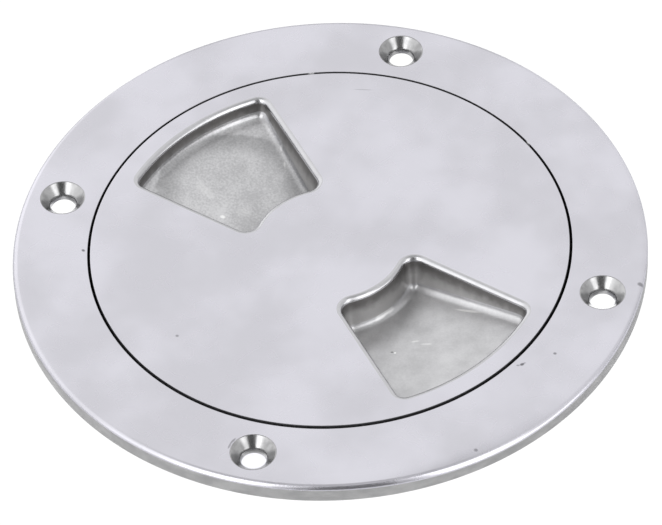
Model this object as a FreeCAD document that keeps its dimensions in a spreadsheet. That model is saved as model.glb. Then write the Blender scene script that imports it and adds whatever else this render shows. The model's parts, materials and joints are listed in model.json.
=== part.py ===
import FreeCAD, Part
import math
import os
import Sketcher
from FreeCAD import Placement, Rotation, Vector

# Screw-in inspection cover for a boat's deck, cast in stainless steel.
#
# The ring lies on the deck with its collar down through the cut-out. The lid screws into the
# collar and seals on a rubber ring under its edge. Two finger pockets are sunk in the lid.
#
# Millimetres, +Z up. The origin is on the cover's axis, in the plane of the deck that the
# ring's lip lies on. The screw holes lie on the X and Y axes.

SIZES = {
    # lid
    "lid_radius": 54.25,
    "lid_gap": 0.5,
    "lid_height": 4.6,
    "lid_rim_thickness": 2.0,
    "lid_plate_thickness": 3.0,
    "lid_turned_to": -33.1,
    "skirt_wall": 3.7,
    "skirt_lead": 0.43,
    "skirt_root_fillet": 1.5,
    # flange of the ring
    "flange_width": 17.05,
    "rim_height": 4.4,
    "rim_rounding": 1.2,
    "plate_thickness": 3.5,
    "lip_width": 2.5,
    "root_fillet": 1.0,
    "edge_break": 0.2,
    # countersunk screw holes
    "screw_count": 4,
    "screw_hole_diameter": 5.5,
    "countersink_diameter": 10.0,
    "countersink_angle": 90.0,
    # collar of the ring
    "shoulder_width": 2.15,
    "collar_wall": 2.05,
    "collar_lead": 2.2,
    "collar_chamfer": 0.8,
    # rubber seal under the lid's edge
    "seal_section": 2.6,
    "seal_play": 0.05,
    "seal_to_bore": 0.35,
    # thread between collar and lid
    "thread_depth": 1.4,
    "thread_clearance": 0.3,
    "thread_pitch": 4.0,
    "thread_root_width": 2.2,
    "thread_crest_width": 1.2,
    "thread_overlap": 0.4,
    "thread_start_depth": 1.6,
    "ring_thread_turns": 2.0,
    "lid_thread_turns": 1.5,
    # finger pockets in the lid
    "pocket_count": 2,
    "pocket_margin": 5.15,
    "pocket_inner_radius": 17.6,
    "pocket_half_angle": 15.6,
    "pocket_apex_distance": 24.7,
    "pocket_outer_corner": 2.3,
    "pocket_inner_corner": 3.0,
    "pocket_draft": 9.0,
    "pocket_lip_rounding": 1.2,
    "pocket_floor_fillet": 1.8,
    "pocket_ledge_width": 2.4,
    "pocket_outer_depth": 4.8,
    "pocket_inner_depth": 8.9,
    "pocket_wall": 2.6,
}


def sheet_of_sizes(doc):
    """Put every driving dimension in a cell of its own, with its name as the alias."""
    sheet = doc.addObject("Spreadsheet::Sheet", "Sizes")
    for row, (name, value) in enumerate(SIZES.items(), start=1):
        sheet.set(f"A{row}", name)
        sheet.set(f"B{row}", str(value))
        sheet.setAlias(f"B{row}", name)
    doc.recompute()


class Formula:
    """A length written as a formula on the sheet's names, for setExpression."""

    def __init__(self, text):
        words = text.replace("(", "( ").replace(")", " )").split()
        self.text = " ".join(f"Sizes.{w}" if w in SIZES else w for w in words)

    def bind(self, thing, prop):
        thing.setExpression(prop, self.text)

    def value(self, thing):
        number = thing.evalExpression(self.text)
        return float(getattr(number, "Value", number))


# Radii that follow from the sizes.
RECESS_RADIUS = "( lid_radius + lid_gap )"
FLANGE_RADIUS = f"( {RECESS_RADIUS} + flange_width )"
SCREW_CIRCLE = f"( {RECESS_RADIUS} + flange_width / 2 )"
COLLAR_RADIUS = f"( {RECESS_RADIUS} + collar_wall )"
BORE_RADIUS = f"( {RECESS_RADIUS} - shoulder_width )"
SEAL_RADIUS = f"( {RECESS_RADIUS} - seal_to_bore - seal_section / 2 )"
NECK_RADIUS = f"( {SEAL_RADIUS} - seal_section / 2 - 2 * seal_play )"
SKIRT_RADIUS = f"( {BORE_RADIUS} - thread_depth - thread_clearance )"
POCKET_OUTSIDE = "( lid_radius - pocket_margin )"
LEDGE_RADIUS = f"( {POCKET_OUTSIDE} - pocket_ledge_width )"

# Heights that follow from them, above the deck. The lid's thread starts where it meshes half
# a pitch off the ring's, whatever way the lid is turned.
TOP = "rim_height"
LID_TOP = "lid_height"
LID_SEAT = f"( {LID_TOP} - lid_rim_thickness )"
LID_UNDERSIDE = f"( {LID_TOP} - lid_plate_thickness )"
SHOULDER = f"( {LID_SEAT} - seal_section - 2 * seal_play )"
PLATE_UNDERSIDE = "( rim_height - plate_thickness )"
RING_THREAD_FOOT = f"( {SHOULDER} - thread_start_depth - thread_pitch * ring_thread_turns )"
LID_THREAD_FOOT = f"( {RING_THREAD_FOOT} + thread_pitch * ( 0.5 + lid_turned_to / 360 ) )"
COLLAR_FOOT = f"( {RING_THREAD_FOOT} - thread_root_width / 2 - collar_lead )"
SKIRT_FOOT = f"( {LID_THREAD_FOOT} - thread_root_width / 2 - skirt_lead )"

# How near an edge has to be to a radius or height to count as lying there.
TOLERANCE = 1e-3


def origin_plane(body, role):
    """Return the body's own origin plane or axis with this role."""
    return next(f for f in body.Origin.OriginFeatures if f.Role == role)


def new_sketch(body, name, role):
    """Start a sketch on one of the body's own origin planes."""
    sketch = body.newObject("Sketcher::SketchObject", name)
    sketch.AttachmentSupport = [(origin_plane(body, role), "")]
    sketch.MapMode = "FlatFace"
    return sketch


def pin_point(sketch, line, x, y):
    """Hold the start of a line at two formulas, measured from the sketch's origin."""
    for kind, text, axis in (("DistanceX", x, -2), ("DistanceY", y, -1)):
        if text == "0":
            sketch.addConstraint(Sketcher.Constraint("PointOnObject", line, 1, axis))
            continue
        formula = Formula(text)
        start = formula.value(sketch)
        number = sketch.addConstraint(Sketcher.Constraint(kind, -1, 1, line, 1, start))
        formula.bind(sketch, f"Constraints[{number}]")


def outline_sketch(body, name, corners):
    """Draw a closed outline of straight lines in the XZ plane, each corner held by formulas."""
    sketch = new_sketch(body, name, "XZ_Plane")
    points = [Vector(Formula(x).value(sketch), Formula(z).value(sketch), 0) for x, z in corners]
    count = len(points)
    for i, point in enumerate(points):
        sketch.addGeometry(Part.LineSegment(point, points[(i + 1) % count]))
    for i in range(count):
        sketch.addConstraint(Sketcher.Constraint("Coincident", i, 2, (i + 1) % count, 1))
    for i, (x, z) in enumerate(corners):
        pin_point(sketch, i, x, z)
    return sketch


def revolve(body, name, corners, kind="PartDesign::Revolution"):
    """Turn an outline about the Z axis, as material or as a groove."""
    sketch = outline_sketch(body, f"{name}Section", corners)
    feature = body.newObject(kind, name)
    feature.Profile = sketch
    feature.ReferenceAxis = (sketch, ["V_Axis"])
    feature.Angle = 360
    return feature


def edges_where(shape, test):
    """Name the shape's edges for which test(edge) is true."""
    return [f"Edge{i}" for i, edge in enumerate(shape.Edges, start=1) if test(edge)]


def is_circle_at(edge, radius, height):
    """Tell whether an edge is a full circle about Z with this radius at this height."""
    if edge.Degenerated or not edge.isClosed() or not isinstance(edge.Curve, Part.Circle):
        return False
    off = edge.Curve.Center - Vector(0, 0, height)
    return off.Length < TOLERANCE and abs(edge.Curve.Radius - radius) < TOLERANCE


def dress(body, kind, name, edge_names, size, prop="Radius"):
    """Round or chamfer named edges of the body's last feature, by a size from the sheet."""
    base = body.Tip
    feature = body.newObject(kind, name)
    feature.Base = (base, edge_names)
    Formula(size).bind(feature, prop)
    body.Document.recompute()


def dress_circle(body, kind, name, radius, height, size, prop="Radius"):
    """Round or chamfer the one full circle at this radius and height."""
    body.Document.recompute()
    at = Formula(radius).value(body), Formula(height).value(body)
    names = edges_where(body.Tip.Shape, lambda edge: is_circle_at(edge, *at))
    dress(body, kind, name, names, size, prop)


def add_thread(body, name, root_radius, crest_radius, foot, turns):
    """Run a trapezoidal ridge round the Z axis as a right-hand helix, starting at a height."""
    half_root = "thread_root_width / 2"
    half_crest = "thread_crest_width / 2"
    corners = [
        (root_radius, f"{foot} - {half_root}"),
        (crest_radius, f"{foot} - {half_crest}"),
        (crest_radius, f"{foot} + {half_crest}"),
        (root_radius, f"{foot} + {half_root}"),
    ]
    sketch = outline_sketch(body, f"{name}Section", corners)
    helix = body.newObject("PartDesign::AdditiveHelix", name)
    helix.Profile = sketch
    helix.ReferenceAxis = (sketch, ["V_Axis"])
    helix.Mode = "pitch-turns-angle"
    Formula("thread_pitch").bind(helix, "Pitch")
    Formula(turns).bind(helix, "Turns")
    body.Document.recompute()


def screw_holes(body):
    """Drill the countersunk holes on their circle, the first on the X axis."""
    doc = body.Document
    sketch = new_sketch(body, "ScrewHoleCentre", "XY_Plane")
    Formula(TOP).bind(sketch, "AttachmentOffset.Base.z")
    place = Formula(SCREW_CIRCLE)
    drill = Formula("screw_hole_diameter")
    centre = Vector(place.value(body), 0, 0)
    sketch.addGeometry(Part.Circle(centre, Vector(0, 0, 1), drill.value(body) / 2))
    sketch.addConstraint(Sketcher.Constraint("PointOnObject", 0, 3, -1))
    across = sketch.addConstraint(Sketcher.Constraint("DistanceX", -1, 1, 0, 3, place.value(body)))
    place.bind(sketch, f"Constraints[{across}]")
    wide = sketch.addConstraint(Sketcher.Constraint("Diameter", 0, drill.value(body)))
    drill.bind(sketch, f"Constraints[{wide}]")
    doc.recompute()

    hole = body.newObject("PartDesign::Hole", "ScrewHole")
    hole.Profile = sketch
    doc.recompute()
    hole.Threaded = False
    hole.DepthType = "ThroughAll"
    hole.HoleCutType = "Countersink"
    hole.HoleCutCustomValues = True
    drill.bind(hole, "Diameter")
    Formula("countersink_diameter").bind(hole, "HoleCutDiameter")
    Formula("countersink_angle").bind(hole, "HoleCutCountersinkAngle")
    doc.recompute()

    pattern = body.newObject("PartDesign::PolarPattern", "ScrewHoles")
    pattern.Originals = [hole]
    pattern.Axis = (origin_plane(body, "Z_Axis"), [""])
    pattern.Angle = 360
    Formula("screw_count").bind(pattern, "Occurrences")
    body.Tip = pattern
    doc.recompute()


def make_ring(doc):
    """The ring: flange, collar, lid recess and inside thread, one casting."""
    body = doc.addObject("PartDesign::Body", "Ring")
    body.Label = "ring"
    lip_inside = f"( {FLANGE_RADIUS} - lip_width )"
    revolve(body, "RingCasting", [
        (RECESS_RADIUS, TOP),
        (FLANGE_RADIUS, TOP),
        (FLANGE_RADIUS, "0"),
        (lip_inside, "0"),
        (lip_inside, PLATE_UNDERSIDE),
        (COLLAR_RADIUS, PLATE_UNDERSIDE),
        (COLLAR_RADIUS, COLLAR_FOOT),
        (BORE_RADIUS, COLLAR_FOOT),
        (BORE_RADIUS, SHOULDER),
        (RECESS_RADIUS, SHOULDER),
    ])
    doc.recompute()
    screw_holes(body)
    fillet, chamfer = "PartDesign::Fillet", "PartDesign::Chamfer"
    dress_circle(body, fillet, "RimRounding", FLANGE_RADIUS, TOP, "rim_rounding")
    dress_circle(body, fillet, "RecessEdge", RECESS_RADIUS, TOP, "edge_break")
    dress_circle(body, fillet, "CollarRoot", COLLAR_RADIUS, PLATE_UNDERSIDE, "root_fillet")
    dress_circle(body, chamfer, "CollarLead", COLLAR_RADIUS, COLLAR_FOOT, "collar_chamfer", "Size")
    dress_circle(body, chamfer, "BoreLead", BORE_RADIUS, COLLAR_FOOT, "collar_chamfer", "Size")
    add_thread(
        body, "RingThread",
        f"{BORE_RADIUS} + thread_overlap",
        f"{BORE_RADIUS} - thread_depth",
        RING_THREAD_FOOT,
        "ring_thread_turns",
    )
    return body


def fan_sketch(body, name, outer_radius, inner_radius, side_growth):
    """Draw a fan about the X axis: two arcs about the centre, and two straight sides that
    would meet at an apex behind it. The sides lie outside the pocket's own by the growth."""
    sketch = new_sketch(body, name, "XY_Plane")
    Formula(LID_TOP).bind(sketch, "AttachmentOffset.Base.z")
    behind = Formula(f"0 - pocket_apex_distance - {side_growth} / sin( pocket_half_angle * 1deg )")
    apex, lean = behind.value(body), math.radians(SIZES["pocket_half_angle"])
    outer, inner = Formula(outer_radius), Formula(inner_radius)

    def corner(radius):
        """Angle at which a side meets the circle of this radius."""
        along = -apex * math.cos(lean) + math.sqrt(radius**2 - (apex * math.sin(lean)) ** 2)
        return math.atan2(along * math.sin(lean), apex + along * math.cos(lean))

    for arc in (outer, inner):
        radius = arc.value(body)
        circle = Part.Circle(Vector(0, 0, 0), Vector(0, 0, 1), radius)
        sketch.addGeometry(Part.ArcOfCircle(circle, -corner(radius), corner(radius)))
    for side in (1, -1):
        ends = []
        for arc in (inner, outer):
            radius = arc.value(body)
            angle = side * corner(radius)
            ends.append(Vector(radius * math.cos(angle), radius * math.sin(angle), 0))
        sketch.addGeometry(Part.LineSegment(*ends))
    sketch.addGeometry(Part.Point(Vector(apex, 0, 0)), True)

    outer_arc, inner_arc, left, right, point = range(5)
    for arc, formula in ((outer_arc, outer), (inner_arc, inner)):
        sketch.addConstraint(Sketcher.Constraint("Coincident", arc, 3, -1, 1))
        number = sketch.addConstraint(Sketcher.Constraint("Radius", arc, formula.value(body)))
        formula.bind(sketch, f"Constraints[{number}]")
    for line, arc_end in ((left, 2), (right, 1)):
        sketch.addConstraint(Sketcher.Constraint("Coincident", line, 1, inner_arc, arc_end))
        sketch.addConstraint(Sketcher.Constraint("Coincident", line, 2, outer_arc, arc_end))
    sketch.addConstraint(Sketcher.Constraint("PointOnObject", point, 1, -1))
    number = sketch.addConstraint(Sketcher.Constraint("DistanceX", -1, 1, point, 1, apex))
    behind.bind(sketch, f"Constraints[{number}]")
    for line, sign in ((left, 1), (right, -1)):
        sketch.addConstraint(Sketcher.Constraint("PointOnObject", point, 1, line))
        number = sketch.addConstraint(Sketcher.Constraint("Angle", line, sign * lean))
        Formula(f"{sign} * pocket_half_angle * 1deg").bind(sketch, f"Constraints[{number}]")
    return sketch


def pad_down(body, name, sketch, length, taper=None):
    """Extrude a sketch downwards, narrowing with depth if it has a taper."""
    pad = body.newObject("PartDesign::Pad", name)
    pad.Profile = sketch
    pad.Reversed = True
    Formula(length).bind(pad, "Length")
    if taper:
        Formula(f"0 - {taper}").bind(pad, "TaperAngle")
    body.Document.recompute()


def trim_below_floor(body, name, below):
    """Cut away what lies under the pockets' floor, or a distance below it. The floor is flat
    for a short way from the outer arc and then one slope, which deepens to the inner arc."""

    def level(depth):
        return f"{LID_TOP} - {depth} - {below}"

    underneath = f"{LID_TOP} - pocket_inner_depth - 4 * pocket_wall"
    revolve(body, name, [
        ("0", level("pocket_inner_depth")),
        ("pocket_inner_radius", level("pocket_inner_depth")),
        (LEDGE_RADIUS, level("pocket_outer_depth")),
        ("lid_radius", level("pocket_outer_depth")),
        ("lid_radius", underneath),
        ("0", underneath),
    ], "PartDesign::Groove")
    body.Document.recompute()


def around_the_axis(body, name, count):
    """Repeat the whole body about the Z axis."""
    body.AllowCompound = True
    pattern = body.newObject("PartDesign::PolarPattern", name)
    pattern.TransformMode = "Whole shape"
    pattern.Axis = (origin_plane(body, "Z_Axis"), [""])
    pattern.Angle = 360
    Formula(count).bind(pattern, "Occurrences")
    body.Tip = pattern
    body.Document.recompute()


def is_wall_corner(edge, deeper_than):
    """Tell whether an edge runs down between two walls, by how far it falls."""
    heights = [v.Z for v in edge.Vertexes]
    return max(heights) - min(heights) > deeper_than


def is_floor_edge(shape, edge):
    """Tell whether an edge lies between a steep wall and the floor that faces down from it."""
    faces = shape.ancestorsOfType(edge, Part.Face)
    tilts = [face.normalAt(*face.Surface.parameter(edge.CenterOfMass)).z for face in faces]
    steep, facing_down = math.sin(math.radians(15)), -math.cos(math.radians(60))
    return min(abs(tilt) for tilt in tilts) < steep and min(tilts) < facing_down


def pocket_hollow(doc):
    """The space of the finger pockets, as a tool to cut them with."""
    body = doc.addObject("PartDesign::Body", "PocketHollow")
    outline = fan_sketch(body, "PocketOutline", POCKET_OUTSIDE, "pocket_inner_radius", "0")
    depth = "pocket_inner_depth + 2 * pocket_wall"
    pad_down(body, "PocketDepth", outline, depth, "pocket_draft")
    depth_there = Formula("pocket_inner_depth").value(body)
    middle = Formula(f"( {POCKET_OUTSIDE} + pocket_inner_radius ) / 2").value(body)

    def corners(beyond_middle):
        """Name the wall corners on one side of the pocket's middle radius."""
        return edges_where(body.Tip.Shape, lambda edge: (
            is_wall_corner(edge, depth_there)
            and (math.hypot(edge.CenterOfMass.x, edge.CenterOfMass.y) > middle) == beyond_middle
        ))

    fillet = "PartDesign::Fillet"
    dress(body, fillet, "OuterCorners", corners(True), "pocket_outer_corner")
    dress(body, fillet, "InnerCorners", corners(False), "pocket_inner_corner")
    trim_below_floor(body, "PocketFloor", "0")
    trimmed = body.Tip.Shape
    floor_edges = edges_where(trimmed, lambda edge: is_floor_edge(trimmed, edge))
    dress(body, fillet, "PocketFloorFillet", floor_edges, "pocket_floor_fillet")
    around_the_axis(body, "HollowPair", "pocket_count")
    return body


def pocket_shell(doc):
    """The cast metal under and round the finger pockets. It runs into the skirt."""
    body = doc.addObject("PartDesign::Body", "PocketShell")
    outside = fan_sketch(
        body, "ShellOutline",
        f"{SKIRT_RADIUS} - skirt_wall / 2",
        "pocket_inner_radius - pocket_wall",
        "pocket_wall",
    )
    pad_down(body, "ShellDepth", outside, "pocket_inner_depth + 2 * pocket_wall")
    trim_below_floor(body, "ShellUnderside", "pocket_wall")
    around_the_axis(body, "ShellPair", "pocket_count")
    return body


def lid_blank(doc):
    """The lid's disc with its neck and skirt, before the pockets and the thread."""
    body = doc.addObject("PartDesign::Body", "LidBlank")
    skirt_inside = f"( {SKIRT_RADIUS} - skirt_wall )"
    revolve(body, "LidDiscAndSkirt", [
        ("0", LID_TOP),
        ("lid_radius", LID_TOP),
        ("lid_radius", LID_SEAT),
        (NECK_RADIUS, LID_SEAT),
        (NECK_RADIUS, SHOULDER),
        (SKIRT_RADIUS, SHOULDER),
        (SKIRT_RADIUS, SKIRT_FOOT),
        (skirt_inside, SKIRT_FOOT),
        (skirt_inside, LID_UNDERSIDE),
        ("0", LID_UNDERSIDE),
    ])
    root = skirt_inside, LID_UNDERSIDE, "skirt_root_fillet"
    dress_circle(body, "PartDesign::Fillet", "SkirtRoot", *root)
    return body


def make_lid(doc):
    """The lid: disc, neck, threaded skirt and pocket shells, one casting."""
    solid = doc.addObject("Part::Fuse", "LidWithShells")
    solid.Base, solid.Tool = lid_blank(doc), pocket_shell(doc)
    pocketed = doc.addObject("Part::Cut", "LidPocketed")
    pocketed.Base, pocketed.Tool = solid, pocket_hollow(doc)
    doc.recompute()

    body = doc.addObject("PartDesign::Body", "Lid")
    body.Label = "lid"
    body.BaseFeature = pocketed
    doc.recompute()
    top = Formula(LID_TOP).value(body)

    def is_lip(edge):
        """Tell whether an edge is part of a pocket's outline in the top face."""
        heights = [v.Z for v in edge.Vertexes] + [edge.CenterOfMass.z]
        return not edge.isClosed() and all(abs(z - top) < TOLERANCE for z in heights)

    fillet = "PartDesign::Fillet"
    dress(body, fillet, "PocketLips", edges_where(body.Tip.Shape, is_lip), "pocket_lip_rounding")
    dress_circle(body, fillet, "LidEdge", "lid_radius", LID_TOP, "edge_break")
    add_thread(
        body, "LidThread",
        f"{SKIRT_RADIUS} - thread_overlap",
        f"{BORE_RADIUS} - thread_clearance",
        LID_THREAD_FOOT,
        "lid_thread_turns",
    )
    turned = Rotation(Vector(0, 0, 1), SIZES["lid_turned_to"])
    body.Placement = Placement(Vector(0, 0, 0), turned)
    Formula("lid_turned_to").bind(body, "Placement.Rotation.Angle")
    return body


def make_seal(doc):
    """The rubber ring stretched round the lid's neck, under its edge."""
    seal = doc.addObject("Part::Torus", "SealRing")
    seal.Label = "o_ring"
    Formula(SEAL_RADIUS).bind(seal, "Radius1")
    Formula("seal_section / 2").bind(seal, "Radius2")
    Formula(f"{SHOULDER} + seal_play + seal_section / 2").bind(seal, "Placement.Base.z")
    return seal


def check_document(doc, pieces):
    """Stop if any object failed or any piece has no sound shape."""
    for thing in doc.Objects:
        if "Invalid" in thing.State or "Error" in thing.State:
            raise RuntimeError(f"{thing.Label} failed: {thing.State}")
    for piece in pieces:
        shape = piece.Shape
        if shape.isNull() or not shape.isValid():
            raise RuntimeError(f"{piece.Label} has no valid shape")


def main():
    os.makedirs("parts", exist_ok=True)
    doc = FreeCAD.newDocument("InspectionCover")
    sheet_of_sizes(doc)
    pieces = [make_ring(doc), make_lid(doc), make_seal(doc)]
    doc.recompute()
    check_document(doc, pieces)
    for piece in pieces:
        shape = piece.Shape
        print(piece.Label, "solids", len(shape.Solids), "volume", round(shape.Volume, 1))
        shape.exportStep(os.path.join("parts", f"{piece.Label}.step"))


main()
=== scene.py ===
import json
import math

import bmesh
import bpy
import numpy as np
from mathutils import Matrix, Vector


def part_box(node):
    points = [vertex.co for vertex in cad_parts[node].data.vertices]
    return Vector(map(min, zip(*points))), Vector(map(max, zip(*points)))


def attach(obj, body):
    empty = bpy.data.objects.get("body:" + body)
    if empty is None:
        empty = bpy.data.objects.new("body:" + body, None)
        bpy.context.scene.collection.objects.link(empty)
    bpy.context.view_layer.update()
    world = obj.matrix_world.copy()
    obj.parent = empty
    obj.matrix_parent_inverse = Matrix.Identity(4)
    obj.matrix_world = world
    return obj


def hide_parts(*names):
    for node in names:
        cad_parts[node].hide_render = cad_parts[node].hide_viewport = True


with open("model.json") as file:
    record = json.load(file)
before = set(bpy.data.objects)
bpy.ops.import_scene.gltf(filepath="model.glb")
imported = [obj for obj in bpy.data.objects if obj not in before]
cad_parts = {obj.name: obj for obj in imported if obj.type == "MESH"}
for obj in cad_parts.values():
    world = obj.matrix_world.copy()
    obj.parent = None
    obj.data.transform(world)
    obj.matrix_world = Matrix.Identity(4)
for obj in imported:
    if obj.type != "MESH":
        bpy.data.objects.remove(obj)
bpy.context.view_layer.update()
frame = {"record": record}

# Looks of the screw-in inspection cover: its flange ring, its lid with two finger pockets and
# the rubber seal under the lid's edge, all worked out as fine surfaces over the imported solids.
#
# Lengths are in millimetres until a mesh is made. +Z is up and the deck lies at z = 0. Angles
# are in degrees, counted from the X axis.

MM = 0.001


def box_of(node):
    """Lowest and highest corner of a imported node, in millimetres."""
    low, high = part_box(node)
    return np.array(low) / MM, np.array(high) / MM


def mount_sizes(name):
    """Dimensions that the record gives for one mount."""
    return next(mount["dims"] for mount in frame["record"]["mounts"] if mount["name"] == name)


RING_LOW, RING_HIGH = box_of("ring")
LID_LOW, LID_HIGH = box_of("lid")
SEAL_LOW, SEAL_HIGH = box_of("o_ring")

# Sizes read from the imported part.
TOP = RING_HIGH[2]
LID_TOP = LID_HIGH[2]
FLANGE_RADIUS = RING_HIGH[0]
COLLAR_FOOT = RING_LOW[2]
SKIRT_FOOT = LID_LOW[2]
COLLAR_RADIUS = mount_sizes("deck_collar")["r_mm"]
SCREW_CIRCLE = mount_sizes("screw_holes")["pcd_mm"] / 2
SCREW_COUNT = mount_sizes("screw_holes")["count"]
HOLE_RADIUS = mount_sizes("screw_holes")["hole_r_mm"]

# Sizes of the ring, as in the part's source.
COLLAR_WALL = 2.05
SHOULDER_WIDTH = 2.15
PLATE_THICKNESS = 3.5
RECESS_RADIUS = COLLAR_RADIUS - COLLAR_WALL
BORE_RADIUS = RECESS_RADIUS - SHOULDER_WIDTH
RIM_ROUNDING = 1.2
LIP_WIDTH = 2.5
PLATE_UNDERSIDE = TOP - PLATE_THICKNESS
ROOT_FILLET = 1.0
EDGE_BREAK = 0.2
COLLAR_CHAMFER = 0.8
SHOULDER = -0.1
COUNTERSINK_RADIUS = 5.0
HOLE_EDGE = 0.12
CONE_FOOT = TOP - (COUNTERSINK_RADIUS - HOLE_RADIUS)
CONE_FOOT_ROUNDING = 1.6
FLAT_BEYOND_HOLES = 0.3
FLAT_OUTSIDE = SCREW_CIRCLE + COUNTERSINK_RADIUS + FLAT_BEYOND_HOLES

# Where the buff took the ring's outer edge down further than its rounding: a little all round,
# and more on one side, spread this far to both sides. Azimuths in degrees.
WORN_ALL_ROUND = 0.12
WORN_MOST = 0.75
WORN_AT = -43
WORN_SPREAD = 34
WORN_REACH = 2.6

# Sizes of the lid.
LID_GAP = 0.5
LID_EDGE_HEIGHT = 2.0
LID_THICKNESS = 3.0
LID_RADIUS = RECESS_RADIUS - LID_GAP
LID_SEAT = LID_TOP - LID_EDGE_HEIGHT
LID_UNDERSIDE = LID_TOP - LID_THICKNESS
NECK_RADIUS = 51.7
SKIRT_RADIUS = 50.9
SKIRT_WALL = 3.7
SKIRT_INSIDE = SKIRT_RADIUS - SKIRT_WALL
SKIRT_ROOT = 1.5
LID_TURNED_TO = -33.1

# The thread, on both pieces.
THREAD_PITCH = 4.0
THREAD_DEPTH = 1.4
THREAD_ROOT_WIDTH = 2.2
THREAD_CREST_WIDTH = 1.2
THREAD_ROUNDING = 0.15
THREAD_RUN_OUT = 12.0
THREAD_MARGIN = 0.1
THREAD_ARC_STEP = 35.0
THREAD_BELOW_SHOULDER = 1.6
RING_THREAD_TURNS = 2
LID_THREAD_TURNS = 1.5
RING_THREAD_FOOT = SHOULDER - THREAD_BELOW_SHOULDER - RING_THREAD_TURNS * THREAD_PITCH
LID_THREAD_FOOT = RING_THREAD_FOOT + THREAD_PITCH * (0.5 + LID_TURNED_TO / 360)

# A finger pocket is a fan about the lid's centre, with straight sides that would meet at an
# apex behind it. These are its sizes at the sharp edge where wall and top face would meet.
POCKET_FROM_EDGE = 5.15
POCKET_OUTSIDE = LID_RADIUS - POCKET_FROM_EDGE
POCKET_INSIDE = 17.6
POCKET_LEAN = math.radians(15.6)
POCKET_APEX = 24.7
POCKET_OUTER_CORNER = 2.3
POCKET_INNER_CORNER = 3.0
LEAST_CORNER = 0.25
POCKET_DRAFT = math.radians(9)
POCKET_LIP = 1.2
POCKET_FLOOR_FILLET = 1.8
POCKET_WALL = 2.6
SHELL_INSIDE = POCKET_INSIDE - POCKET_WALL
POCKET_MIDDLE = 35.0

# Depth of the pocket's floor at the inner arc and from the slope's outer end on.
POCKET_LEDGE = 2.4
FLOOR_RADII = np.array([POCKET_INSIDE, POCKET_OUTSIDE - POCKET_LEDGE])
FLOOR_DEPTHS = np.array([8.9, 4.8])
SLOPE_SOFTNESS = 1.5

# How many rows of a broken edge are clean metal, above the painted shade in the gap.
EDGE_ROWS = 4

# How finely the surfaces are divided: columns round the axis, points held close beside a crease,
# steps of an arc in degrees, the flat round a hole, and the rays and levels of a pocket.
COLUMNS = 432
HALF_COLUMNS = COLUMNS // 2
HOLD = 0.05
ARC_STEP = 15.0
SEAL_ARC_COLUMNS, SEAL_COLUMNS = 32, 240
WORN_ROWS = 8
HOLE_CELL_COLUMNS = 10
HOLE_AZIMUTHS = np.linspace(90, -270, 97)
FLAT_ROWS = 12
POCKET_MARGIN = 1.5
OUTER_ARC_RAYS, CORNER_RAYS, SIDE_RAYS, INNER_ARC_RAYS = 46, 22, 40, 18
LIP_LEVELS, WALL_LEVELS, FILLET_LEVELS, FLOOR_LEVELS = 7, 8, 7, 26
SHELL_LEVELS, SHELL_WALL_LEVELS, CEILING_LEVELS = 12, 5, 9

# Points closer than this, in metres, are one point. Faces that meet at more than this angle, in
# degrees, keep a sharp edge between them.
SAME_POINT = 3e-8
SHARP_FROM = 34


# Finishes of the metal, and the gap's painted shade, in the order of each piece's material slots.
POLISHED, BRIGHT, POCKET_SIDE, POCKET_BED, TURNED, CAST, PAINTED_GAP_SHADE, COUNTERSUNK, GROUND = range(9)


class Skin:
    """Gathers the sheets of points that make up one piece, each with its finish."""

    def __init__(self):
        self.points = []
        self.faces = []
        self.finishes = []
        self.count = 0

    def add(self, points, faces, finish):
        """Take in points and the faces that join them."""
        self.points.append(points.reshape(-1, 3))
        self.faces += (faces + self.count).tolist()
        self.finishes += [finish] * len(faces)
        self.count += len(self.points[-1])

    def add_grid(self, points, finish=0):
        """Join a grid of points, rows by columns, with four-sided faces."""
        rows, columns = points.shape[:2]
        at = np.arange(rows * columns).reshape(rows, columns)
        corners = [at[:-1, :-1], at[:-1, 1:], at[1:, 1:], at[1:, :-1]]
        self.add(points, np.stack(corners, -1).reshape(-1, 4), finish)

    def add_seam(self, first, first_at, second, second_at, finish=0):
        """Join two lines of points that run side by side, by where each point lies along them.

        Each next point makes a triangle with the point before it on its own line and the last
        point passed on the other line.
        """
        passed_second = np.searchsorted(second_at[1:], first_at[1:], side="left")
        passed_first = np.searchsorted(first_at[1:], second_at[1:], side="right")
        step_first = np.arange(1, len(first_at))
        step_second = np.arange(1, len(second_at))
        offset = len(first_at)
        faces = np.concatenate([
            np.stack([step_first - 1, step_first, offset + passed_second], -1),
            np.stack([offset + step_second - 1, passed_first, offset + step_second], -1),
        ])
        self.add(np.concatenate([first, second]), faces, finish)

    def make(self, name, materials):
        """Make the mesh: sheets merged where they meet, faces outwards, creases kept sharp."""
        mesh = bpy.data.meshes.new(name)
        mesh.from_pydata(np.concatenate(self.points) * MM, [], self.faces)
        mesh.polygons.foreach_set("material_index", self.finishes)
        shell = bmesh.new()
        shell.from_mesh(mesh)
        bmesh.ops.remove_doubles(shell, verts=shell.verts, dist=SAME_POINT)
        bmesh.ops.recalc_face_normals(shell, faces=shell.faces)
        shell.to_mesh(mesh)
        shell.free()
        for material in materials:
            mesh.materials.append(material)
        mesh.shade_smooth()
        mesh.set_sharp_from_angle(angle=math.radians(SHARP_FROM))
        piece = bpy.data.objects.new(name, mesh)
        bpy.context.scene.collection.objects.link(piece)
        return piece


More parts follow.
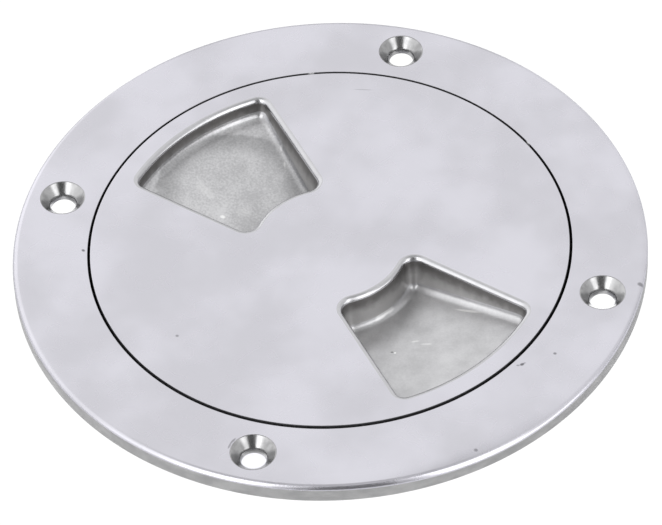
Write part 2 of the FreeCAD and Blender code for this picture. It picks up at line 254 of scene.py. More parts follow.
def rounded_path(corners, arc_step=ARC_STEP, hold=HOLD):
    """A line through corners (r, z, rounding), with each rounded corner as an arc.

    The arc touches both legs at rounding times the tangent of half the turn from the corner.
    Points close beside each end of an arc or a crease hold the shading of the flats.
    """
    spots = np.array([corner[:2] for corner in corners], float)
    path = [spots[:1]]
    for before, here, after, corner in zip(spots, spots[1:], spots[2:], corners[1:-1]):
        into = (here - before) / np.linalg.norm(here - before)
        out = (after - here) / np.linalg.norm(after - here)
        turn = math.atan2(into[0] * out[1] - into[1] * out[0], into @ out)
        reach = corner[2] * abs(math.tan(turn / 2))
        steps = math.ceil(abs(math.degrees(turn)) / arc_step) if corner[2] else 0
        side = np.array([-into[1], into[0]]) * math.copysign(1, turn)
        swept = np.linspace(0, abs(turn), steps + 1)[:, None]
        arc = here - into * reach + corner[2] * (np.sin(swept) * into + (1 - np.cos(swept)) * side)
        ends = [here - into * (reach + hold), here + out * (reach + hold)] if hold else []
        path += [*ends[:1], arc, *ends[1:]]
    path.append(spots[-1:])
    return np.vstack(path)


def around(path, azimuths):
    """Carry a line of (r, z) points round the Z axis."""
    angle = np.radians(azimuths)[None, :]
    radius, height = path[:, :1], path[:, 1:]
    level = np.broadcast_to(height, (len(path), len(azimuths)))
    return np.stack([radius * np.cos(angle), radius * np.sin(angle), level], -1)


def turned(points, degrees):
    """Turn points about the Z axis."""
    angle = math.radians(degrees)
    spin = [[math.cos(angle), math.sin(angle), 0], [-math.sin(angle), math.cos(angle), 0], [0, 0, 1]]
    return points @ np.array(spin)


def at_height(plan, height):
    """Lift a plan of (x, y) points to a height, one number or one for each point."""
    return np.concatenate([plan, np.broadcast_to(height, plan.shape[:-1])[..., None]], -1)


def add_thread(skin, root, outward, low, high, foot, start, turns, finish):
    """A cylinder between two heights with a trapezoidal ridge on it, as a right-hand helix.

    The middle of the ridge is at height foot + pitch * turns run. The ridge lies in a band that
    winds round with it. Between turns the band's upper edge is the lower edge of its next turn,
    half a pitch from the ridge, and towards both ends the free edge comes near the ridge. Two
    wedges fill the cylinder below the first turn and above the last one. Each wedge grows from
    nothing to the band's own height, with rows that meet the band's rows at its end.
    """
    half_root, half_crest, half_pitch = THREAD_ROOT_WIDTH / 2, THREAD_CREST_WIDTH / 2, THREAD_PITCH / 2
    near = half_root + THREAD_MARGIN
    ridge = rounded_path([
        (0, -near, 0),
        (0, -half_root, THREAD_ROUNDING),
        (THREAD_DEPTH, -half_crest, THREAD_ROUNDING),
        (THREAD_DEPTH, half_crest, THREAD_ROUNDING),
        (0, half_root, THREAD_ROUNDING),
        (0, near, 0),
    ], THREAD_ARC_STEP, 0)[1:-1]
    steps = round(COLUMNS * turns)
    run = np.arange(steps + 1) / COLUMNS
    middle = foot + THREAD_PITCH * run
    lower = middle - near - (half_pitch - near) * np.clip(run, 0, 1)
    upper = middle + near + (half_pitch - near) * np.clip(turns - run, 0, 1)
    band = np.vstack([lower, middle + ridge[:, 1:], upper])
    from_end = np.clip(np.minimum(run, turns - run) * 360 / THREAD_RUN_OUT, 0, 1)
    strength = from_end * from_end * (3 - 2 * from_end)
    height = np.concatenate([[0], ridge[:, 0], [0]])[:, None] * strength
    angle = np.radians(start + 360 * run)

    def wall(radius, level, columns):
        """Points of the cylinder's wall at these radii and heights."""
        return np.stack([
            radius * np.cos(angle[columns]), radius * np.sin(angle[columns]), level
        ], -1)

    share = np.arange(COLUMNS + 1) / COLUMNS
    flat = np.ones(COLUMNS + 1)
    begins, ends = lower[0], upper[-1]
    below = np.vstack([low * flat, begins + np.outer(band[:, 0] - begins, share)])
    above = np.vstack([ends + np.outer(band[:, -1] - ends, 1 - share), high * flat])
    skin.add_grid(wall(root + outward * height, band, slice(None)), finish)
    skin.add_grid(wall(np.full(below.shape, root), below, slice(0, COLUMNS + 1)), finish)
    skin.add_grid(wall(np.full(above.shape, root), above, slice(steps - COLUMNS, None)), finish)


def ring_piece(materials):
    """The flange ring: top face with countersunk holes, rounded rim, lip, collar and bore."""
    skin = Skin()
    azimuths = np.linspace(0, 360, COLUMNS + 1)
    top_inside = RECESS_RADIUS + EDGE_BREAK
    lip_inside = FLANGE_RADIUS - LIP_WIDTH
    under_inside = COLLAR_RADIUS + ROOT_FILLET
    outside = rounded_path([
        (FLAT_OUTSIDE, TOP, 0),
        (FLANGE_RADIUS, TOP, RIM_ROUNDING),
        (FLANGE_RADIUS, 0, EDGE_BREAK),
        (lip_inside, 0, EDGE_BREAK),
        (lip_inside, PLATE_UNDERSIDE, 0),
        (lip_inside - HOLD, PLATE_UNDERSIDE, 0),
    ])
    share = np.linspace(0, 1, WORN_ROWS, endpoint=False)[:, None]
    outside = np.vstack([outside[0] + share * (outside[1] - outside[0]), outside[1:]])
    side_from = WORN_ROWS + round(90 / ARC_STEP)
    collar = rounded_path([
        (under_inside + HOLD, PLATE_UNDERSIDE, 0),
        (COLLAR_RADIUS, PLATE_UNDERSIDE, ROOT_FILLET),
        (COLLAR_RADIUS, COLLAR_FOOT + COLLAR_CHAMFER, 0),
        (COLLAR_RADIUS - COLLAR_CHAMFER, COLLAR_FOOT, 0),
        (BORE_RADIUS + COLLAR_CHAMFER, COLLAR_FOOT, 0),
        (BORE_RADIUS, COLLAR_FOOT + COLLAR_CHAMFER, 0),
        (BORE_RADIUS, COLLAR_FOOT + COLLAR_CHAMFER + HOLD, 0),
    ])
    recess = rounded_path([
        (BORE_RADIUS, SHOULDER - HOLD, 0),
        (BORE_RADIUS, SHOULDER, 0),
        (RECESS_RADIUS, SHOULDER, 0),
        (RECESS_RADIUS, TOP, EDGE_BREAK),
        (top_inside + HOLD, TOP, 0),
    ])
    skin.add_grid(around(outside[:side_from + 1], azimuths), POLISHED)
    skin.add_grid(around(outside[side_from:], azimuths), GROUND)
    skin.add_grid(around(collar, azimuths), TURNED)
    # Painted shade: the recess wall and shoulder down in the gap get the dark coat.
    skin.add_grid(around(recess[:-EDGE_ROWS], azimuths), PAINTED_GAP_SHADE)
    skin.add_grid(around(recess[-EDGE_ROWS - 1:], azimuths), POLISHED)
    add_thread(
        skin, BORE_RADIUS, -1, COLLAR_FOOT + COLLAR_CHAMFER + HOLD, SHOULDER - HOLD,
        RING_THREAD_FOOT, 0, RING_THREAD_TURNS, TURNED,
    )
    edges = (top_inside + HOLD, FLAT_OUTSIDE), (under_inside + HOLD, lip_inside - HOLD)
    add_flat_with_holes(skin, edges[0], TOP, COUNTERSINK_RADIUS + HOLE_EDGE, POLISHED)
    add_flat_with_holes(skin, edges[1], PLATE_UNDERSIDE, HOLE_RADIUS, CAST)
    add_hole_walls(skin)
    skin.points = [worn(points) for points in skin.points]
    return skin.make("flange_ring", materials)


def worn(points):
    """Lower the ring's outer edge by what the buff took off there, above the plate's underside."""
    radius = np.linalg.norm(points[:, :2], axis=-1)
    azimuth = np.degrees(np.arctan2(points[:, 1], points[:, 0]))
    most = 0.5 + 0.5 * np.cos(np.pi * np.clip(np.abs(azimuth - WORN_AT) / WORN_SPREAD, 0, 1))
    starts = FLAT_OUTSIDE - WORN_REACH * most
    outwards = np.clip((radius - starts) / (FLANGE_RADIUS - starts), 0, 1)
    share = np.clip((points[:, 2] - PLATE_UNDERSIDE) / (TOP - RIM_ROUNDING - PLATE_UNDERSIDE), 0, 1)
    taken = (WORN_ALL_ROUND + WORN_MOST * most) * outwards**2 * share
    return points - taken[:, None] * [0, 0, 1]


def add_flat_with_holes(skin, edges, height, hole_radius, finish):
    """A flat face between two radii, with a round hole on each quarter of the screw circle.

    Each hole has a cell of its own that is cut out of the face, and the cell's border is joined
    to the circle round the hole by where their points lie about the hole's centre.
    """
    inside, outside = edges
    step = 360 / COLUMNS
    cell = HOLE_CELL_COLUMNS * step
    quarter = 360 / SCREW_COUNT
    between = np.arange(cell, quarter - cell + step / 2, step)
    side = np.linspace(inside, outside, FLAT_ROWS + 1)
    half = FLAT_ROWS // 2
    bands = np.stack([side, np.full(len(side), height)], -1)
    along = np.linspace(-cell, cell, 2 * HOLE_CELL_COLUMNS + 1)
    border = np.concatenate([
        np.stack([side[half:-1], np.full(half, cell)], -1),
        np.stack([np.full(len(along) - 1, outside), along[:0:-1]], -1),
        np.stack([side[:0:-1], np.full(FLAT_ROWS, -cell)], -1),
        np.stack([np.full(len(along) - 1, inside), along[:-1]], -1),
        np.stack([side[:half + 1], np.full(half + 1, cell)], -1),
    ])
    radius, angle = border[:, 0], np.radians(border[:, 1])
    border = np.stack([radius * np.cos(angle), radius * np.sin(angle)], -1)
    seen = np.unwrap(np.arctan2(border[:, 1], border[:, 0] - SCREW_CIRCLE))
    rims = np.array([(hole_radius, height), (hole_radius + HOLD, height)])
    rims = around(rims, HOLE_AZIMUTHS) + [SCREW_CIRCLE, 0, 0]
    for number in range(SCREW_COUNT):
        spin = number * quarter
        skin.add_grid(around(bands, between + spin), finish)
        skin.add_grid(turned(rims, spin), finish)
        skin.add_seam(
            turned(rims[1], spin), -np.radians(HOLE_AZIMUTHS),
            turned(at_height(border, height), spin), -seen, finish,
        )


def add_hole_walls(skin):
    """The countersink's cone and the drilled hole below it, on each quarter of the circle.

    A profile of distance from the hole's axis and height is carried round that axis, from the
    same points as the rims in the two flat faces.
    """
    profile = rounded_path([
        (COUNTERSINK_RADIUS + HOLE_EDGE, TOP, 0),
        (COUNTERSINK_RADIUS, TOP, 2 * HOLE_EDGE),
        (HOLE_RADIUS, CONE_FOOT, CONE_FOOT_ROUNDING),
        (HOLE_RADIUS, PLATE_UNDERSIDE, 0),
    ])
    for number in range(SCREW_COUNT):
        wall = around(profile, HOLE_AZIMUTHS) + [SCREW_CIRCLE, 0, 0]
        skin.add_grid(turned(wall, number * 360 / SCREW_COUNT), COUNTERSUNK)


def fan_reach(ray, inset):
    """Distance from the pocket's middle to its outline, along rays at angles up to 180 degrees.

    The outline is the fan moved inwards by an inset. Along a ray it is the outer arc, then the
    outer corner's circle, the straight side, the inner corner's circle and the inner arc. Each
    corner's circle touches its two neighbours, which gives its centre and where it begins and
    ends.
    """
    ray, inset = np.broadcast_arrays(np.abs(ray), inset)
    outer, inner = POCKET_OUTSIDE - inset, POCKET_INSIDE + inset
    middle = np.array([POCKET_MIDDLE, 0.0])
    side_out = np.array([-math.sin(POCKET_LEAN), math.cos(POCKET_LEAN)])
    heading = np.stack([np.cos(ray), np.sin(ray)], -1)

    def reach_circle(centre, radius, far):
        """Distance along the ray to a circle, on its far or near side."""
        to_centre = centre - middle
        along = (to_centre * heading).sum(-1)
        off = radius**2 - (to_centre**2).sum(-1) + along**2
        return along + far * np.sqrt(np.maximum(off, 0))

    def corner(sharp_radius, arc, outwards):
        """Centre of a corner's circle, its radius, and its touching points as ray angles."""
        radius = np.maximum(sharp_radius - inset, LEAST_CORNER)
        from_axis = arc - outwards * radius
        offset = inset + radius
        apex = np.array([-POCKET_APEX, 0.0])
        side = np.array([math.cos(POCKET_LEAN), math.sin(POCKET_LEAN)])
        foot = apex - offset[..., None] * side_out
        along = -(foot * side).sum(-1)
        along = along + np.sqrt(from_axis**2 - (foot**2).sum(-1) + along**2)
        centre = foot + along[..., None] * side
        on_arc = centre * (arc / from_axis)[..., None]
        on_side = centre + radius[..., None] * side_out
        angles = [np.arctan2(p[..., 1], p[..., 0] - POCKET_MIDDLE) for p in (on_arc, on_side)]
        return centre, radius, angles

    outer_centre, outer_radius, (ends_outer, starts_side) = corner(POCKET_OUTER_CORNER, outer, 1)
    inner_centre, inner_radius, (starts_inner, ends_side) = corner(POCKET_INNER_CORNER, inner, -1)
    clear = np.maximum(np.sin(ray - POCKET_LEAN), 1e-6)
    side_reach = ((POCKET_MIDDLE + POCKET_APEX) * math.sin(POCKET_LEAN) - inset) / clear
    origin = np.zeros(2)
    return np.select(
        [ray < ends_outer, ray < starts_side, ray < ends_side, ray < starts_inner],
        [
            reach_circle(origin, outer, 1),
            reach_circle(outer_centre, outer_radius, 1),
            side_reach,
            reach_circle(inner_centre, inner_radius, 1),
        ],
        reach_circle(origin, inner, -1),
    )


def floor_depth(plan):
    """Depth of the pocket's floor under the top face, by distance from the lid's centre.

    The slope's outer end is softened: the depth is the mean over a short stretch either side.
    """
    radius = np.linalg.norm(plan, axis=-1)
    slope = (FLOOR_DEPTHS[0] - FLOOR_DEPTHS[1]) / (FLOOR_RADII[0] - FLOOR_RADII[1])
    radii = np.concatenate([[0], FLOOR_RADII])
    depths = np.concatenate([[FLOOR_DEPTHS[0] - slope * POCKET_INSIDE], FLOOR_DEPTHS])
    shifts = np.linspace(-SLOPE_SOFTNESS, SLOPE_SOFTNESS, 9)
    return np.mean([np.interp(radius + shift, radii, depths) for shift in shifts], 0)


def pocket_rays():
    """Ray angles about the pocket's middle, close together round its corners."""
    half = [0, 53, 73, 142, 163, 180]
    counts = [OUTER_ARC_RAYS, CORNER_RAYS, SIDE_RAYS, CORNER_RAYS, INNER_ARC_RAYS]
    pieces = [np.linspace(a, b, n, endpoint=False) for a, b, n in zip(half, half[1:], counts)]
    one_side = np.append(np.concatenate(pieces), 180)
    return np.radians(np.concatenate([-one_side[:0:-1], one_side]))


def pocket_sheets():
    """Points of one finger pocket on rays from its middle: flat margin, lip, wall and floor.

    Going in along a ray, the lip rolls over a quarter circle less the draft. The wall then
    leans in by the draft, to where the floor's fillet begins. The fillet rolls on to the floor
    and the floor shrinks to the middle. Each level is the fan's outline at its own inset, and
    below the lip its height follows the depth of the floor at that place.
    """
    ray = pocket_rays()
    heading = np.stack([np.cos(ray), np.sin(ray)], -1)

    def plan(inset):
        """Points of the outline at an inset, as (x, y)."""
        return [POCKET_MIDDLE, 0] + fan_reach(ray, inset)[..., None] * heading

    lip_roll = np.linspace(0, math.pi / 2 - POCKET_DRAFT, LIP_LEVELS)
    lip_start = -POCKET_LIP * math.tan((math.pi / 2 - POCKET_DRAFT) / 2)
    lip_inset = lip_start + POCKET_LIP * np.sin(lip_roll)
    lip_drop = POCKET_LIP * (1 - np.cos(lip_roll))
    margin_inset = lip_start - np.array([POCKET_MARGIN, HOLD])
    outside = np.concatenate([margin_inset, lip_inset])
    outside_drop = np.concatenate([[0, 0], lip_drop])
    rim = [at_height(plan(i), LID_TOP - d) for i, d in zip(outside, outside_drop)]

    wall_foot = floor_depth(plan(0.0)) - POCKET_FLOOR_FILLET * (1 - math.sin(POCKET_DRAFT))
    share = np.linspace(0, 1, WALL_LEVELS + 1)[1:, None]
    wall_drop = lip_drop[-1] + share * (wall_foot - lip_drop[-1])
    wall_inset = lip_inset[-1] + (wall_drop - lip_drop[-1]) * math.tan(POCKET_DRAFT)
    wall = [at_height(plan(i), LID_TOP - d) for i, d in zip(wall_inset, wall_drop)]

    rolls = np.linspace(POCKET_DRAFT, math.pi / 2, FILLET_LEVELS + 1)[1:]
    fillet = []
    for roll in rolls:
        inset = wall_inset[-1] + POCKET_FLOOR_FILLET * (math.cos(POCKET_DRAFT) - math.cos(roll))
        there = plan(inset)
        drop = floor_depth(there) - POCKET_FLOOR_FILLET * (1 - math.sin(roll))
        fillet.append(at_height(there, LID_TOP - drop))

    edge = fillet[-1][:, :2] - [POCKET_MIDDLE, 0]
    shrink = np.linspace(1, 0, FLOOR_LEVELS + 1)[1:, None, None]
    floor = [POCKET_MIDDLE, 0] + edge * shrink
    floor = at_height(floor, LID_TOP - floor_depth(floor))
    bed = np.concatenate([np.stack(wall[-1:] + fillet), floor])
    return np.stack(rim[:2]), np.stack(rim[1:]), np.stack(rim[-1:] + wall), bed


def half_border(radius, joint):
    """Border of half the lid's disc, counted round from the middle of its straight side."""
    azimuths = np.linspace(-90, 90, HALF_COLUMNS + 1)
    bow = radius * np.stack([np.cos(np.radians(azimuths)), np.sin(np.radians(azimuths))], -1)
    straight = np.stack([np.zeros(len(joint)), joint], -1)
    return np.concatenate([-straight[:-1], bow, straight[-2::-1]])


def add_lid_top(skin):
    """The lid's flat face in two halves, each with its pocket."""
    radius = LID_RADIUS - EDGE_BREAK - HOLD
    border = half_border(radius, np.linspace(0, radius, 24))
    seen = np.unwrap(np.arctan2(border[:, 1], border[:, 0] - POCKET_MIDDLE))
    ray = pocket_rays()
    margin, lip, side, bed = pocket_sheets()
    for half in (0, 180):
        spin = LID_TURNED_TO + half
        skin.add_grid(turned(margin, spin), POLISHED)
        skin.add_grid(turned(lip, spin), BRIGHT)
        skin.add_grid(turned(side, spin), POCKET_SIDE)
        skin.add_grid(turned(bed, spin), POCKET_BED)
        skin.add_seam(
            turned(margin[0], spin), ray, turned(at_height(border, LID_TOP), spin), seen, POLISHED
        )


def lid_ceiling(radius):
    """Height of the lid's underside, which rolls down into the skirt with a quarter circle."""
    into = np.clip(radius - (SKIRT_INSIDE - SKIRT_ROOT), 0, SKIRT_ROOT)
    return LID_UNDERSIDE - SKIRT_ROOT + np.sqrt(np.maximum(SKIRT_ROOT**2 - into**2, 0))


def shell_apex():
    """How far behind the lid's centre the sides of a pocket's shell would meet."""
    return POCKET_APEX + POCKET_WALL / math.sin(POCKET_LEAN)


def shell_corner(radius):
    """Where a side of the shell meets a circle about the lid's centre, as (x, y)."""
    apex = shell_apex()
    along = apex * math.cos(POCKET_LEAN)
    along += math.sqrt(radius**2 - (apex * math.sin(POCKET_LEAN)) ** 2)
    return np.array([along * math.cos(POCKET_LEAN) - apex, along * math.sin(POCKET_LEAN)])


def shell_reach(border):
    """Distance from the pocket's middle to its shell's outline, towards points of the border."""
    to_border = border - [POCKET_MIDDLE, 0]
    distance = np.linalg.norm(to_border, axis=-1)
    ray = np.abs(np.arctan2(to_border[:, 1], to_border[:, 0]))
    clear = np.maximum(np.sin(ray - POCKET_LEAN), 1e-6)
    side = (POCKET_MIDDLE + shell_apex()) * math.sin(POCKET_LEAN) / clear
    along = -POCKET_MIDDLE * np.cos(ray)
    off = SHELL_INSIDE**2 - POCKET_MIDDLE**2 + along**2
    arc = along - np.sqrt(np.maximum(off, 0))
    corner = shell_corner(SHELL_INSIDE)
    corner_ray = math.atan2(corner[1], corner[0] - POCKET_MIDDLE)
    return np.where(ray < corner_ray, side, arc), distance, to_border / distance[:, None]


def add_lid_underside(skin):
    """The lid's underside, the shells under its pockets and the inside of its skirt.

    Points lie on rays from a pocket's middle to the border of half the disc inside the skirt.
    Along a ray come the shell's bottom, its upright side and the ceiling round it. Where the
    shell runs into the skirt, its bottom alone reaches the skirt's wall.
    """
    corner = shell_corner(SHELL_INSIDE)
    joint_at = corner[1] * POCKET_MIDDLE / (POCKET_MIDDLE - corner[0])
    joint = np.concatenate([
        np.linspace(0, joint_at, 14, endpoint=False),
        np.linspace(joint_at, SKIRT_INSIDE, 12),
    ])
    border = half_border(SKIRT_INSIDE, joint)
    reach, distance, heading = shell_reach(border)
    meets = shell_corner(SKIRT_INSIDE)
    half_merged = round(math.degrees(math.atan2(meets[1], meets[0])) / (180 / HALF_COLUMNS))
    middle = len(border) // 2
    merged = slice(middle - half_merged, middle + half_merged + 1)
    reach[merged] = distance[merged]

    def floor_below(plan):
        """Height of the shell's bottom, a wall's thickness under the pocket's floor."""
        radius = np.linalg.norm(plan, axis=-1)
        return LID_TOP - np.interp(radius, FLOOR_RADII, FLOOR_DEPTHS) - POCKET_WALL

    share = np.linspace(0, 1, SHELL_LEVELS + 1)[:, None, None]
    bottom = [POCKET_MIDDLE, 0] + share * (reach[:, None] * heading)
    bottom = at_height(bottom, floor_below(bottom))
    foot = bottom[-1]
    ceiling_at = lid_ceiling(np.linalg.norm(foot[:, :2], axis=-1))
    rise = np.linspace(0, 1, SHELL_WALL_LEVELS + 1)[:, None]
    upright = np.stack([
        at_height(foot[:, :2], foot[:, 2] + step * (ceiling_at - foot[:, 2])) for step in rise
    ])
    outwards = np.sin(np.linspace(0, math.pi / 2, CEILING_LEVELS + 1))[:, None, None]
    ceiling = foot[:, :2] + outwards * (border - foot[:, :2])
    ceiling = at_height(ceiling, lid_ceiling(np.linalg.norm(ceiling, axis=-1)))

    skirt_top = LID_UNDERSIDE - SKIRT_ROOT
    meets_at = foot[middle, 2]
    tall = np.linspace(skirt_top, meets_at, SHELL_WALL_LEVELS + 1)
    tall = np.append(tall, SKIRT_FOOT + EDGE_BREAK + HOLD)
    azimuths = np.linspace(-90, 90, HALF_COLUMNS + 1)
    centre = HALF_COLUMNS // 2
    open_low, open_high = slice(0, centre - half_merged + 1), slice(centre + half_merged, None)
    under_shell = slice(centre - half_merged, centre + half_merged + 1)
    walls = np.stack([np.full(len(tall), SKIRT_INSIDE), tall], -1)
    for half in (0, 180):
        spin = LID_TURNED_TO + half
        skin.add_grid(turned(bottom, spin), CAST)
        for part in (slice(0, merged.start + 1), slice(merged.stop - 1, None)):
            skin.add_grid(turned(upright[:, part], spin), CAST)
            skin.add_grid(turned(ceiling[:, part], spin), CAST)
        for part in (open_low, open_high):
            skin.add_grid(turned(around(walls, azimuths[part]), spin), TURNED)
        skin.add_grid(turned(around(walls[-2:], azimuths[under_shell]), spin), TURNED)


def lid_piece(materials):
    """The lid: flat face with two pockets, edge, neck, threaded skirt and underside."""
    skin = Skin()
    azimuths = LID_TURNED_TO - 90 + np.linspace(0, 360, COLUMNS + 1)
    face_radius = LID_RADIUS - EDGE_BREAK
    edge = rounded_path([
        (face_radius - HOLD, LID_TOP, 0),
        (LID_RADIUS, LID_TOP, EDGE_BREAK),
        (LID_RADIUS, LID_SEAT, EDGE_BREAK),
        (NECK_RADIUS, LID_SEAT, 0),
        (NECK_RADIUS, SHOULDER, 0),
        (SKIRT_RADIUS, SHOULDER, 0),
        (SKIRT_RADIUS, SHOULDER - HOLD, 0),
    ])
    foot = rounded_path([
        (SKIRT_RADIUS, SKIRT_FOOT + EDGE_BREAK + HOLD, 0),
        (SKIRT_RADIUS, SKIRT_FOOT, EDGE_BREAK),
        (SKIRT_INSIDE, SKIRT_FOOT, EDGE_BREAK),
        (SKIRT_INSIDE, SKIRT_FOOT + EDGE_BREAK + HOLD, 0),
    ])
    skin.add_grid(around(edge[:EDGE_ROWS + 1], azimuths), POLISHED)
    # Painted shade: the lid's side, seat, neck and shoulder below the clean rows get the dark coat.
    skin.add_grid(around(edge[EDGE_ROWS:], azimuths), PAINTED_GAP_SHADE)
    skin.add_grid(around(foot, azimuths), TURNED)
    add_thread(
        skin, SKIRT_RADIUS, 1, SKIRT_FOOT + EDGE_BREAK + HOLD, SHOULDER - HOLD,
        LID_THREAD_FOOT, LID_TURNED_TO, LID_THREAD_TURNS, TURNED,
    )
    add_lid_top(skin)
    add_lid_underside(skin)
    return skin.make("lid_with_pockets", materials)


def seal_piece(material):
    """The rubber seal: a circle carried round the axis."""
    section = SEAL_HIGH[2] - SEAL_LOW[2]
    circle = np.linspace(0, 2 * math.pi, SEAL_ARC_COLUMNS + 1)
    radius = SEAL_HIGH[0] - section / 2
    path = np.stack([
        radius + section / 2 * np.cos(circle),
        (SEAL_HIGH[2] + SEAL_LOW[2]) / 2 + section / 2 * np.sin(circle),
    ], -1)
    skin = Skin()
    skin.add_grid(around(path, np.linspace(0, 360, SEAL_COLUMNS + 1)))
    return skin.make("rubber_seal", [material])


def linear(colour):
    """Turn an sRGB hex colour into linear red, green, blue and alpha."""
    parts = np.array([int(colour[i:i + 2], 16) for i in (1, 3, 5)]) / 255
    low = parts / 12.92
    high = ((parts + 0.055) / 1.055) ** 2.4
    return [*np.where(parts <= 0.04045, low, high).tolist(), 1.0]


def add_node(tree, kind, inputs=None, **settings):
    """Add a node with its settings, and fill its inputs with values or other nodes' outputs."""
    node = tree.nodes.new(kind)
    for name, value in settings.items():
        setattr(node, name, value)
    for key, value in (inputs or {}).items():
        if isinstance(value, bpy.types.NodeSocket):
            tree.links.new(value, node.inputs[key])
        else:
            node.inputs[key].default_value = value
    return node


def new_metal(name, roughness):
    """A bare metal surface with its roughness, ready for its colour and patterns."""
    material = bpy.data.materials.new(name)
    material.use_nodes = True
    tree = material.node_tree
    shader = tree.nodes["Principled BSDF"]
    shader.inputs["Metallic"].default_value = 1.0
    shader.inputs["Roughness"].default_value = roughness
    place = add_node(tree, "ShaderNodeTexCoord").outputs["Object"]
    return material, tree, shader, place


def noise(tree, place, size, detail=2.0, stretch=None):
    """Soft noise between 0 and 1 whose patches are this many millimetres across."""
    if stretch:
        place = add_node(tree, "ShaderNodeMapping", {"Vector": place, "Scale": stretch}).outputs[0]
    inputs = {"Vector": place, "Scale": 1 / (size * MM), "Detail": detail, "Roughness": 0.55}
    return add_node(tree, "ShaderNodeTexNoise", inputs).outputs[0]


def spread(tree, value, low, high, to_low, to_high):
    """Carry a value from one range to another, smoothly and not beyond its ends."""
    return add_node(tree, "ShaderNodeMapRange", {
        "Value": value, "From Min": low, "From Max": high, "To Min": to_low, "To Max": to_high,
    }, interpolation_type="SMOOTHSTEP").outputs[0]


def tint(tree, share, dark, light):
    """A colour between two others, by a share from 0 to 1. Each is a hex colour or an output."""
    dark, light = (linear(end) if isinstance(end, str) else end for end in (dark, light))
    return add_node(tree, "ShaderNodeMix", {
        "Factor": share, "A": dark, "B": light
    }, data_type="RGBA").outputs["Result"]


def worked_out(tree, operation, *values):
    """The result of one Math node on numbers or other nodes' outputs."""
    return add_node(tree, "ShaderNodeMath", dict(enumerate(values)), operation=operation).outputs[0]


def part_of(tree, place, axis):
    """One coordinate of a place."""
    return add_node(tree, "ShaderNodeSeparateXYZ", {0: place}).outputs[axis]


def magnitude(tree, vector):
    """The length of a vector."""
    return add_node(tree, "ShaderNodeVectorMath", {0: vector}, operation="LENGTH").outputs["Value"]


def from_axis(tree, place):
    """Distance of a place from the Z axis."""
    flat = add_node(tree, "ShaderNodeVectorMath", {0: place, 1: (1, 1, 0)}, operation="MULTIPLY")
    return magnitude(tree, flat.outputs[0])


# Marks that the photograph shows on the top faces: place, half length and half width in
# millimetres, direction of the length, and how much of the light the mark leaves.
TOP_MARKS = [
    (-53.8, -14.6, 0.40, 0.30, -30, 0.35),
    (50.9, -25.0, 0.45, 0.32, 40, 0.30),
    (50.1, -25.5, 0.35, 0.22, 10, 0.60),
    (51.3, -24.5, 0.35, 0.18, 30, 0.65),
    (57.2, -20.2, 0.35, 0.30, 0, 0.45),
    (47.0, -51.2, 0.40, 0.35, 0, 0.55),
    (-25.7, -34.7, 0.35, 0.30, 0, 0.55),
    (-5.2, 48.9, 2.0, 0.15, 10, 0.80),
    (70.9, 4.4, 0.60, 0.50, 0, 0.50),
    (-5.15, -61.2, 0.85, 0.24, 68, 0.55),
    (-5.50, -62.7, 0.80, 0.22, 84, 0.60),
]
# The same for the beds: a sand pit, soft darker patches, and a long patch beside the outer arc of one
# bed that is painted shade.
BED_MARKS = [
    (20.3, -22.3, 0.30, 0.22, 0, 0.45),
    (45.0, -15.0, 2.2, 0.9, 75, 0.86),
    (27.2, -20.4, 2.6, 0.8, 15, 0.93),
    (-14.6, 21.6, 4.0, 2.4, 115, 0.86),
    (-26.5, 22.0, 4.5, 1.6, -35, 0.95),
]

# Painted highlights on the beds: white spots and streaks put where glints show on the fillets and the
# floor.
BED_PAINTED_GLINTS = [
    (21.0, -22.4, 0.25, 0.22, 0, 0.0),
    (33.9, -6.9, 2.6, 0.30, -4, 0.25),
    (27.2, -18.5, 1.2, 0.30, 10, 0.65),
    (24.5, -18.0, 0.8, 0.25, 20, 0.55),
    (15.0, -11.7, 1.6, 0.45, 58, 0.35),
    (16.3, -9.7, 1.2, 0.40, 55, 0.45),
    (-28.1, 8.9, 0.55, 0.40, 0, 0.1),
    (-26.4, 40.4, 0.9, 0.30, -70, 0.4),
    (-20.4, 31.5, 0.6, 0.25, -70, 0.35),
    (-18.6, 27.6, 0.7, 0.22, -70, 0.4),
    (-34.0, 15.0, 2.4, 1.0, -30, 0.8),
    (-24.0, 11.5, 1.6, 1.0, 10, 0.85),
]

# Painted shade on one bed: a dark band along an arc about this place, with its radius, half width and
# wavering.
SHADE_BAND_CENTRE = (-27.3, 15.5)
SHADE_BAND_RADIUS = 17.0
SHADE_BAND_HALF_WIDTH = 1.7
SHADE_BAND_RAGGED = 1.6


def add_marks(tree, place, marks):
    """How much of the light each place keeps, with the marks multiplied together."""
    kept = None
    for x, y, length, width, heading, shade in marks:
        near = add_node(tree, "ShaderNodeMapping", {
            "Vector": place,
            "Location": (x * MM, y * MM, 0),
            "Rotation": (0, 0, math.radians(heading)),
            "Scale": (length * MM, width * MM, 1),
        }, vector_type="TEXTURE").outputs[0]
        mark = spread(tree, magnitude(tree, near), 0.6, 1.5, shade, 1.0)
        kept = mark if kept is None else worked_out(tree, "MULTIPLY", kept, mark)
    return kept


